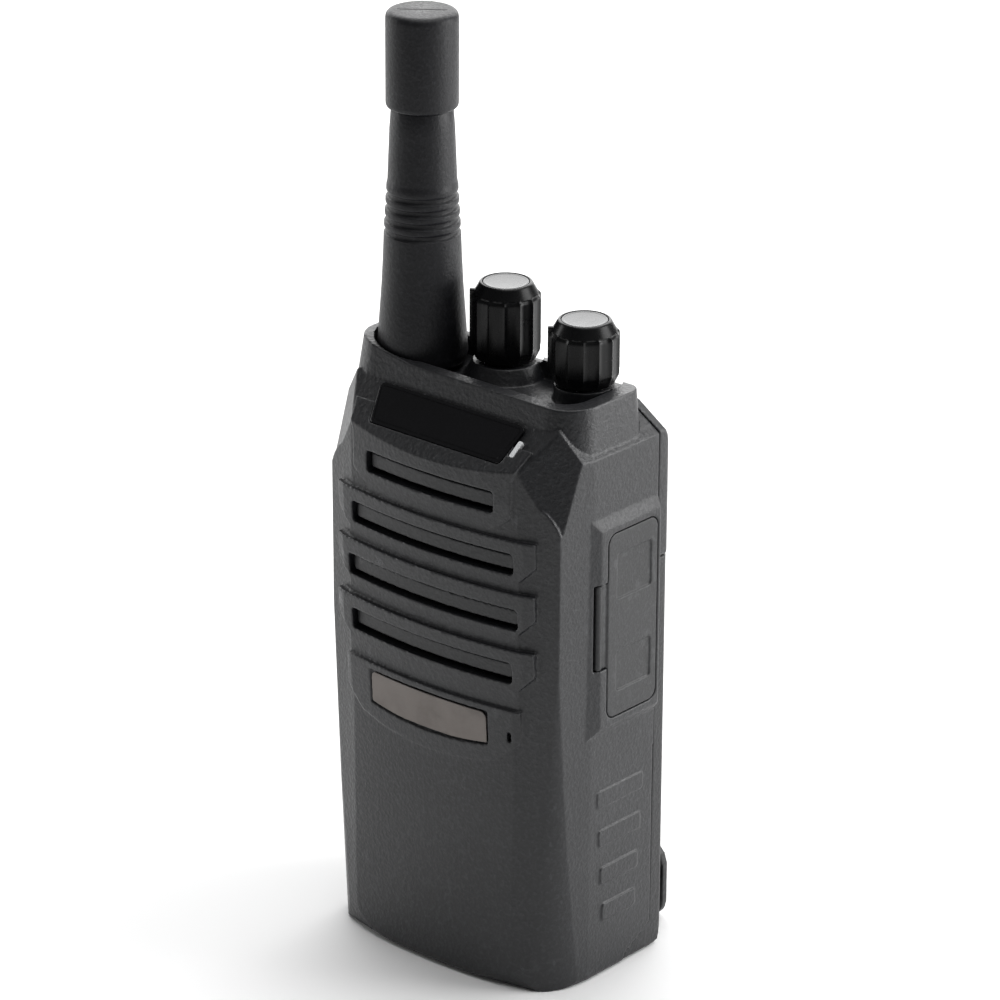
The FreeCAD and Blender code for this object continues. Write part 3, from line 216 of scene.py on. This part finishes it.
def woven(name, base):
    """Open dust cloth in front of the speaker."""
    g = Graph(name)
    waves = [g.add("ShaderNodeTexWave", bands_direction=axis) for axis in ("X", "Z")]
    for wave in waves:
        g.link(g.place, wave.inputs["Vector"])
        wave.inputs["Scale"].default_value = 900.0
        wave.inputs["Distortion"].default_value = 0.4
    weave = g.math("MAXIMUM", waves[0].outputs["Fac"], waves[1].outputs["Fac"])
    g.set(Base_Color=g.blend(weave, rgb(0.001, 0.001, 0.001), base), Roughness=0.9,
          Normal=g.bump(weave, 0.08))
    return g.material


def milky(name):
    """Signal lamp window: milky white moulding that passes a little light."""
    g = Graph(name)
    cloud = g.noise(1.2, 2.0)
    g.set(Base_Color=g.blend(cloud, rgb(0.82, 0.84, 0.86), rgb(0.95, 0.96, 0.97)), Roughness=0.18,
          Subsurface_Weight=0.25, Subsurface_Radius=(MM, MM, MM), Normal=g.bump(cloud, 0.01))
    return g.material


def wrapped(name):
    """Shrink-wrapped cells: glossy film with fine creases."""
    g = Graph(name)
    crease = g.noise(3.0, 5.0, 0.75)
    g.set(Base_Color=g.blend(crease, rgb(0.02, 0.07, 0.2), rgb(0.05, 0.13, 0.32)), Roughness=0.28,
          Normal=g.bump(crease, 0.15))
    return g.material


CASE = moulded(
    "case_grain", rgb(0.0110, 0.0114, 0.0130), rgb(0.0145, 0.0150, 0.0168), 0.40, 0.55, 0.13)
BATTERY = moulded(
    "battery_grain", rgb(0.0110, 0.0113, 0.0126), rgb(0.0145, 0.0149, 0.0163), 0.43, 0.55, 0.14)
RUBBER = moulded(
    "soft_rubber", rgb(0.014, 0.0145, 0.0155), rgb(0.018, 0.0186, 0.0198), 0.46, 0.45, 0.06)
ANTENNA = moulded(
    "antenna_rubber", rgb(0.0075, 0.0076, 0.0094), rgb(0.0100, 0.0102, 0.0120), 0.46, 0.5, 0.085, 0.32)
INSERT = moulded(
    "insert_satin", rgb(0.009, 0.0093, 0.0104), rgb(0.012, 0.0124, 0.0136), 0.40, 0.5, 0.09)
SWITCH = moulded(
    "switch_moulding", rgb(0.06, 0.06, 0.062), rgb(0.075, 0.075, 0.077), 0.55, 0.3, 0.01)
PAPER = moulded("speaker_paper", rgb(0.03, 0.028, 0.026), rgb(0.045, 0.042, 0.04), 0.85, 0.6, 0.05, 0.2)
KNOB = polished("knob_gloss", rgb(0.0030, 0.0031, 0.0034), 0.27, 0.03, 0.0, 0.22)
DISC = polished("knob_disc_gloss", rgb(0.016, 0.0172, 0.019), 0.24, 0.03, 0.1, 0.34)
PLATE = polished("plate_gloss", rgb(0.0042, 0.0042, 0.0050), 0.14, 0.02, 0.1, 0.40)
BADGE = metal("badge_brushed", rgb(0.170, 0.155, 0.145), 0.5, (0.05, 1.0, 1.0), 0.25, 0.3)
STEEL = metal("screw_steel", rgb(0.52, 0.52, 0.53), 0.32, (1.0, 1.0, 0.2), 0.3)
TIN = metal("can_tin", rgb(0.72, 0.73, 0.74), 0.22, (1.0, 1.0, 0.3), 1.5)
CASTING = metal("die_casting", rgb(0.55, 0.56, 0.57), 0.5, (1.0, 1.0, 1.0), 0.5)
BRASS = metal("machined_brass", rgb(0.72, 0.53, 0.22), 0.26, (0.2, 0.2, 1.0), 0.2)
GOLD = metal("gold_plate", rgb(0.86, 0.62, 0.25), 0.2, (1.0, 1.0, 1.0), 1.0, 0.1)
COPPER = metal("copper_wire", rgb(0.7, 0.35, 0.2), 0.3, (0.2, 0.2, 1.0), 0.2)
LENS = milky("lamp_milk")
FINISH = {
    CASE: "front_housing rear_housing clip_bracket",
    BATTERY: "battery_cover battery_tub battery_latch clip_tongue",
    INSERT: "grille_insert",
    KNOB: "channel_knob volume_knob",
    DISC: "channel_knob_disc volume_knob_disc",
    ANTENNA: "antenna_sheath antenna_cap",
    RUBBER: "jack_cover talk_button side_button_upper side_button_lower antenna_seal main_seal"
            " microphone_boot",
    PLATE: "name_plate",
    BADGE: "lower_badge",
    LENS: "led_lens",
    woven("dust_cloth", rgb(0.01, 0.01, 0.011)): "speaker_mesh",
    CASTING: "chassis",
    board("circuit_board"): "main_board button_board",
    TIN: "shield_can microphone",
    STEEL: "case_screws clip_screws clip_pin clip_spring latch_spring speaker_basket control_nuts"
           " channel_shaft volume_shaft",
    BRASS: "antenna_connector antenna_ferrule",
    GOLD: "radio_contacts battery_contacts",
    COPPER: "antenna_radiator",
    wrapped("cell_wrap"): "battery_cells",
    PAPER: "speaker_cone",
    SWITCH: "button_switches channel_switch volume_control speaker_jack microphone_jack",
}
for finish, names in FINISH.items():
    for node_name in names.split():
        data = NODES[node_name].data
        data.materials.clear()
        data.materials.append(finish)


# ---------------------------------------------------------------- pieces


def keep(piece, body, material, node):
    """Finish a piece: material, body and the CAD node that it stands for."""
    piece.data.materials.clear()
    piece.data.materials.append(material)
    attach(piece, body)
    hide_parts(node)


def new_piece(name, mesh):
    piece = bpy.data.objects.new(name, mesh)
    bpy.context.scene.collection.objects.link(piece)
    return piece


def applied(piece):
    """Bake a piece's modifiers into its mesh."""
    graph = bpy.context.evaluated_depsgraph_get()
    mesh = bpy.data.meshes.new_from_object(piece.evaluated_get(graph))
    piece.modifiers.clear()
    old = piece.data
    piece.data = mesh
    bpy.data.meshes.remove(old)
    return piece


def upright(node):
    """Axis of an upright CAD node and its lowest and highest level, in millimetres: x, y, low, high."""
    low, high = (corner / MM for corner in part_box(node))
    return (low.x + high.x) / 2, (low.y + high.y) / 2, low.z, high.z


def from_node(node, name):
    """Welded copy of a CAD node's mesh as a new piece."""
    mesh = NODES[node].data.copy()
    bm = bmesh.new()
    bm.from_mesh(mesh)
    bmesh.ops.remove_doubles(bm, verts=bm.verts, dist=2e-6)
    bm.to_mesh(mesh)
    bm.free()
    return new_piece(name, mesh)


def rounded_off(piece, voxel_mm, rounds, ratio):
    """Round every edge of a closed piece as a moulding's edges are."""
    remesh = piece.modifiers.new("voxels", "REMESH")
    remesh.mode = "VOXEL"
    remesh.voxel_size = voxel_mm * MM * 1.0
    smooth = piece.modifiers.new("rounding", "SMOOTH")
    smooth.factor = 0.5
    smooth.iterations = rounds
    thin = piece.modifiers.new("thinning", "DECIMATE")
    thin.ratio = ratio
    applied(piece)
    piece.data.shade_smooth()
    return piece


def softened(node, name, voxel_mm, rounds, ratio):
    return rounded_off(from_node(node, name), voxel_mm, rounds, ratio)


def fillet_line(points, radius_mm):
    """Replace each inner corner of a (radius, height) profile by a small three-point round."""
    line = [points[0]]
    for before, corner, after in zip(points, points[1:], points[2:]):
        ends = []
        for end in (before, after):
            span = math.dist(end, corner)
            reach = min(radius_mm, span * 0.4)
            ends.append([c + (e - c) * reach / span for c, e in zip(corner, end)])
        middle = [(a + 2 * c + b) / 4 for a, c, b in zip(ends[0], corner, ends[1])]
        line += [ends[0], middle, ends[1]]
    line.append(points[-1])
    return line


def spun(name, x, y, profile, steps, shape=None):
    """Closed solid of revolution about the upright axis through (x, y), in millimetres.

    The profile runs from the axis round to the axis; shape may change a point's radius by angle.
    """
    steps = steps
    bm = bmesh.new()
    rings = []
    for r, z in profile:
        if r < 1e-6:
            rings.append([bm.verts.new((x * MM, y * MM, z * MM))])
            continue
        ring = []
        for k in range(steps):
            turn = 2 * math.pi * k / steps
            reach = shape(r, z, turn) if shape else r
            spot = (x + reach * math.cos(turn), y + reach * math.sin(turn), z)
            ring.append(bm.verts.new(Vector(spot) * MM))
        rings.append(ring)
    for low, high in zip(rings, rings[1:]):
        for k in range(steps):
            j = (k + 1) % steps
            corners = [low[k % len(low)], low[j % len(low)], high[j % len(high)], high[k % len(high)]]
            unique = list(dict.fromkeys(corners))
            if len(unique) > 2:
                bm.faces.new(unique)
    bmesh.ops.recalc_face_normals(bm, faces=bm.faces)
    mesh = bpy.data.meshes.new(name)
    bm.to_mesh(mesh)
    bm.free()
    mesh.shade_smooth()
    return new_piece(name, mesh)


def block(name, corner_a, corner_b, bevel_mm, turn=0.0, pivot=(0.0, 0.0)):
    """Bevelled block between two corners, turned about an upright axis, in millimetres."""
    bm = bmesh.new()
    verts = []
    for z in (corner_a[2], corner_b[2]):
        for x, y in ((corner_a[0], corner_a[1]), (corner_b[0], corner_a[1]),
                     (corner_b[0], corner_b[1]), (corner_a[0], corner_b[1])):
            rx = x * math.cos(turn) - y * math.sin(turn) + pivot[0]
            ry = x * math.sin(turn) + y * math.cos(turn) + pivot[1]
            verts.append(bm.verts.new((rx * MM, ry * MM, z * MM)))
    for quad in ((0, 3, 2, 1), (4, 5, 6, 7), (0, 1, 5, 4), (1, 2, 6, 5), (2, 3, 7, 6), (3, 0, 4, 7)):
        bm.faces.new([verts[i] for i in quad])
    bmesh.ops.bevel(bm, geom=list(bm.edges), offset=bevel_mm * MM, segments=3, profile=0.6, affect="EDGES")
    mesh = bpy.data.meshes.new(name)
    bm.to_mesh(mesh)
    bm.free()
    mesh.shade_smooth()
    return new_piece(name, mesh)


def with_tool(piece, tool, operation):
    """Exact boolean of a piece with a tool, which is then removed."""
    step = piece.modifiers.new("shape", "BOOLEAN")
    step.operation = operation
    step.solver = "EXACT"
    step.object = tool
    applied(piece)
    mesh = tool.data
    bpy.data.objects.remove(tool)
    bpy.data.meshes.remove(mesh)
    return piece


def creased(piece, degrees):
    """Smooth shading that keeps edges sharper than an angle."""
    piece.data.shade_smooth()
    piece.data.set_sharp_from_angle(angle=math.radians(degrees))
    return piece


# ---------------------------------------------------------------- antenna


def antenna_sheath():
    """Tapering rubber sleeve with four ring grooves, hollow over its ferrule and radiator."""
    x, y, foot, top = upright("antenna_sheath")
    bore, socket, socket_top = 0.85, 2.55, foot + 5.0
    groove_z, pitch, grooves, groove_depth = foot + 25.3, 2.37, 4, 0.45
    waist, shrink = 7.22, 0.06
    profile = [(bore, socket_top), (socket, socket_top), (socket, foot), (7.7, foot), (8.3, foot + 0.6),
               (8.6, foot + 1.9), (8.0, foot + 10.3), (7.65, foot + 15.3), (7.4, foot + 20.3),
               (waist, groove_z - 0.05)]
    for i in range(grooves):
        z = groove_z + pitch * i
        r = waist - shrink * pitch * i
        profile += [(r, z + 0.02), (r - groove_depth + 0.02, z + 0.24), (r - groove_depth, z + 1.1),
                    (r - 0.05, z + 1.3), (r - 0.08, z + pitch - 0.1)]
    profile += [(6.5, foot + 35.6), (6.1, foot + 45.7), (5.8, top - 0.05), (bore, top - 0.05),
                (bore, socket_top)]
    return spun("antenna_sleeve", x, y, fillet_line(profile, 0.22), 144)


def antenna_cap():
    """Cap with a rounded crown and a moulded slit across its top."""
    x, y, foot, top = upright("antenna_cap")
    r = 6.8
    profile = [(0, foot), (r - 0.5, foot), (r - 0.15, foot + 0.2), (r, foot + 0.7), (r, top - 1.3),
               (r - 0.18, top - 0.6), (r - 0.6, top - 0.18), (r - 1.3, top - 0.02), (0, top)]
    cap = spun("antenna_top", x, y, fillet_line(profile, 0.3), 144)
    slit = block("slit_tool", (-4.6, -0.16, top - 0.45), (4.6, 0.16, top + 1.1), 0.05,
                 math.radians(38.0), (x, y))
    return creased(with_tool(cap, slit, "DIFFERENCE"), 40)


# ---------------------------------------------------------------- knobs


def knob_piece(name, node):
    """Knob with fourteen shallow flutes, a cone shoulder and a pointer fin."""
    x, y, base, top = upright(node)
    count, flute_depth, skirt, shaft_bore = 14, 0.42, 6.66, 2.05

    def fluted(r, z, turn):
        if r < 5.9:
            return r
        across = (turn * count / (2 * math.pi)) % 1.0
        depth = flute_depth * (1.0 - abs(2 * across - 1.0) ** 3)
        run_in = min(1.0, max(0.0, (z - base - 0.6) / 1.4))
        run_out = min(1.0, max(0.0, (top - 2.05 - z) / 0.35))
        return r - depth * run_in * run_out

    profile = [(shaft_bore, base), (5.3, base), (5.75, base + 0.35), (6.5, base + 1.9), (skirt, base + 2.4),
               (skirt, top - 3.2), (6.6, top - 2.75), (6.3, top - 2.35), (5.95, top - 1.95),
               (5.15, top - 0.5), (4.95, top - 0.15), (4.7, top), (4.45, top - 0.02), (4.4, top - 0.5),
               (shaft_bore, top - 0.5), (shaft_bore, base)]
    knob = spun(name, x, y, fillet_line(profile, 0.16), 168, fluted)
    fin = block("fin_tool", (5.0, -0.55, base + 2.2), (skirt + 0.12, 0.55, top - 1.5), 0.3,
                math.radians(221.0), (x, y))
    return creased(with_tool(knob, fin, "UNION"), 38)


def knob_disc(name, node):
    """Slightly dished disc with a turned edge, set in the knob's crown."""
    x, y, _, top = upright(node)
    profile = [(0, top - 0.45), (4.32, top - 0.45), (4.32, top - 0.14), (4.2, top - 0.06), (3.9, top - 0.06),
               (3.75, top - 0.1), (0, top - 0.1)]
    return spun(name, x, y, fillet_line(profile, 0.06), 96)


# ---------------------------------------------------------------- plates


def rounded_quad(corners, radius):
    """Outline of a convex quad with rounded corners, nine points at each."""
    points = []
    for i, corner in enumerate(corners):
        here = Vector(corner)
        back = (Vector(corners[i - 1]) - here).normalized()
        ahead = (Vector(corners[(i + 1) % 4]) - here).normalized()
        half = back.angle(ahead) / 2
        run = radius / math.tan(half)
        centre = here + (back + ahead).normalized() * radius / math.sin(half)
        start, end = here + back * run - centre, here + ahead * run - centre
        turn = start.angle_signed(end)
        for k in range(9):
            a = -turn * k / 8
            points.append(centre + Vector((start.x * math.cos(a) - start.y * math.sin(a),
                                           start.x * math.sin(a) + start.y * math.cos(a))))
    return points


def stacked(name, rings):
    """Closed solid through a stack of outlines of one count, each a list of points in millimetres."""
    bm = bmesh.new()
    rings = [[bm.verts.new(Vector(point) * MM) for point in ring] for ring in rings]
    for low_ring, high_ring in zip(rings, rings[1:]):
        for k in range(len(low_ring)):
            j = (k + 1) % len(low_ring)
            bm.faces.new((low_ring[k], low_ring[j], high_ring[j], high_ring[k]))
    bm.faces.new(rings[-1])
    bm.faces.new(list(reversed(rings[0])))
    bmesh.ops.recalc_face_normals(bm, faces=bm.faces)
    mesh = bpy.data.meshes.new(name)
    bm.to_mesh(mesh)
    bm.free()
    return new_piece(name, mesh)


def name_plate_piece():
    """Gloss plate with softened edges and a fine groove just inside its border."""
    slope = math.atan2(6.0, 5.6)
    low_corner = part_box("name_plate")[0] / MM
    foot_y, foot_z = low_corner.y - 0.037, low_corner.z + 0.478
    half_low, half_high, length, corner = 15.85, 17.85, 8.2, 1.0
    edge_levels = ((0.0, -0.7), (0.0, -0.14), (0.05, -0.08), (0.14, -0.05))
    groove_levels = ((0.62, -0.05), (0.66, -0.13), (0.76, -0.13), (0.80, -0.05))
    rings = []
    for inset, out in edge_levels + groove_levels:
        outline = rounded_quad([
            (inset - half_low, inset), (half_low - inset, inset),
            (half_high - inset, length - inset), (inset - half_high, length - inset)], corner - inset * 0.6)
        rings.append([(side, foot_y + along * math.cos(slope) - out * math.sin(slope),
                       foot_z + along * math.sin(slope) + out * math.cos(slope)) for side, along in outline])
    return creased(stacked("plate_gloss_front", rings), 30)


def badge_piece():
    """Curved metal badge with rounded corners and a pillowed edge."""
    piece = from_node("lower_badge", "badge_front")
    _, corner_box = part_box("lower_badge")
    half, high, corner = corner_box.x / MM, corner_box.z / MM, 1.3
    across, above, below = half - corner, high - corner, high - 5.92
    outline = []
    for cx, cz, start in ((across, above, 0), (-across, above, 90), (-across, below, 180),
                          (across, below, 270)):
        for k in range(9):
            turn = math.radians(start + k * 90 / 8)
            outline.append((cx + corner * math.cos(turn), cz + corner * math.sin(turn)))
    tool = stacked("badge_tool", [[(u, y, w) for u, w in outline] for y in (-24.0, -14.0)])
    with_tool(piece, tool, "INTERSECT")
    return rounded_off(piece, 0.11, 4, 0.4)


# ---------------------------------------------------------------- camera, light and floor


CENTRE = Vector((0.0, 0.0, 0.09))
LIGHTS = (
    ("behind", (-0.62, 0.72, 0.52), CENTRE, (1.7, 0.8), 15.0),
    ("overhead", (0.1, 0.2, 1.1), CENTRE, (1.2, 1.2), 10.0),
    ("right", (0.75, 0.62, 0.16), (0.0, 0.0, 0.0), (0.7, 0.3), 3.6),
    ("low right", (0.42, 0.34, 0.3), (0.14, 0.12, 0.0), (0.3, 0.3), 1.5),
    ("left", (-0.85, -0.25, 0.2), CENTRE, (0.3, 0.6), 2.0),
)


def facing(way, right, roll=0.0):
    """Rotation of a camera or light that looks along way, rolled about it."""
    up = right.cross(way)
    rolled_right = right * math.cos(roll) - up * math.sin(roll)
    rolled_up = right * math.sin(roll) + up * math.cos(roll)
    return Matrix((rolled_right, rolled_up, -way)).transposed().to_euler()


def photo_camera():
    """Camera at the photograph's angle: 41 degrees round to the right and 22 degrees up, a long lens."""
    around, upward, roll = math.radians(40.846), math.radians(22.422), math.radians(-0.272)
    distance, off_x, off_y, aim_z = 969.7, -0.566, 1.534, 91.0
    way = Vector((-math.sin(around) * math.cos(upward), math.cos(around) * math.cos(upward),
                  -math.sin(upward)))
    right = Vector((math.cos(around), math.sin(around), 0))
    data = bpy.data.cameras.new("camera")
    data.sensor_width = 36.0
    data.lens = 186.2
    data.clip_start = 0.01
    camera = bpy.data.objects.new("camera", data)
    camera.location = (Vector((0, 0, aim_z)) - right * off_x - right.cross(way) * off_y - way * distance) * MM
    camera.rotation_euler = facing(way, right, roll)
    bpy.context.scene.collection.objects.link(camera)
    bpy.context.scene.camera = camera


def soft_light(name, place, target, size, power):
    data = bpy.data.lights.new(name, "AREA")
    data.shape = "RECTANGLE"
    data.size, data.size_y = size
    data.energy = power
    light = bpy.data.objects.new(name, data)
    light.location = place
    way = (Vector(target) - light.location).normalized()
    light.rotation_euler = facing(way, way.cross(Vector((0, 0, 1))).normalized())
    bpy.context.scene.collection.objects.link(light)


def flat_floor():
    side = 4.0
    mesh = bpy.data.meshes.new("floor")
    mesh.from_pydata([(-side, -side, 0), (side, -side, 0), (side, side, 0), (-side, side, 0)], [],
                     [(0, 1, 2, 3)])
    floor = new_piece("floor", mesh)
    g = Graph("floor_paper")
    g.set(Base_Color=g.blend(g.noise(30.0, 3.0), rgb(0.94, 0.94, 0.94), rgb(0.96, 0.96, 0.96)),
          Roughness=0.9)
    mesh.materials.append(g.material)


def studio():
    """Pale floor, dim surround, a tall bright panel behind, one overhead and smaller ones at the sides."""
    flat_floor()
    world = bpy.data.worlds.new("surround")
    world.use_nodes = True
    surround = world.node_tree.nodes["Background"].inputs
    surround["Color"].default_value = rgb(1.0, 1.0, 1.0)
    surround["Strength"].default_value = 0.1
    bpy.context.scene.world = world
    for light in LIGHTS:
        soft_light(*light)
    bpy.context.scene.view_settings.view_transform = "Standard"


# ---------------------------------------------------------------- the whole radio


SOFT = (
    ("front_housing", "case_front", "radio", CASE, 0.2, 4, 0.2),
    ("rear_housing", "case_rear", "radio", CASE, 0.22, 4, 0.25),
    ("grille_insert", "speaker_louvres", "radio", INSERT, 0.2, 3, 0.3),
    ("led_lens", "lamp_window", "radio", LENS, 0.1, 3, 0.5),
    ("battery_cover", "battery_shell", "battery", BATTERY, 0.24, 4, 0.25),
    ("clip_bracket", "clip_mount", "battery", CASE, 0.2, 3, 0.3),
    ("clip_tongue", "clip_lever", "clip", BATTERY, 0.25, 4, 0.3),
    ("battery_latch", "latch_slider", "latch", BATTERY, 0.15, 3, 0.3),
    ("jack_cover", "jack_flap", "cover", RUBBER, 0.2, 3, 0.3),
    ("talk_button", "talk_key", "talk", RUBBER, 0.2, 4, 0.3),
    ("side_button_upper", "upper_key", "side_upper", RUBBER, 0.17, 4, 0.3),
    ("side_button_lower", "lower_key", "side_lower", RUBBER, 0.17, 4, 0.3),
)
for node_name, name, body, finish, voxel, rounds, ratio in SOFT:
    keep(softened(node_name, name, voxel, rounds, ratio), body, finish, node_name)
keep(antenna_sheath(), "antenna", ANTENNA, "antenna_sheath")
keep(antenna_cap(), "antenna", ANTENNA, "antenna_cap")
for body in ("channel", "volume"):
    keep(knob_piece(body + "_grip", body + "_knob"), body, KNOB, body + "_knob")
    keep(knob_disc(body + "_crown", body + "_knob"), body, DISC, body + "_knob_disc")
keep(name_plate_piece(), "radio", PLATE, "name_plate")
keep(badge_piece(), "radio", BADGE, "lower_badge")
photo_camera()
studio()
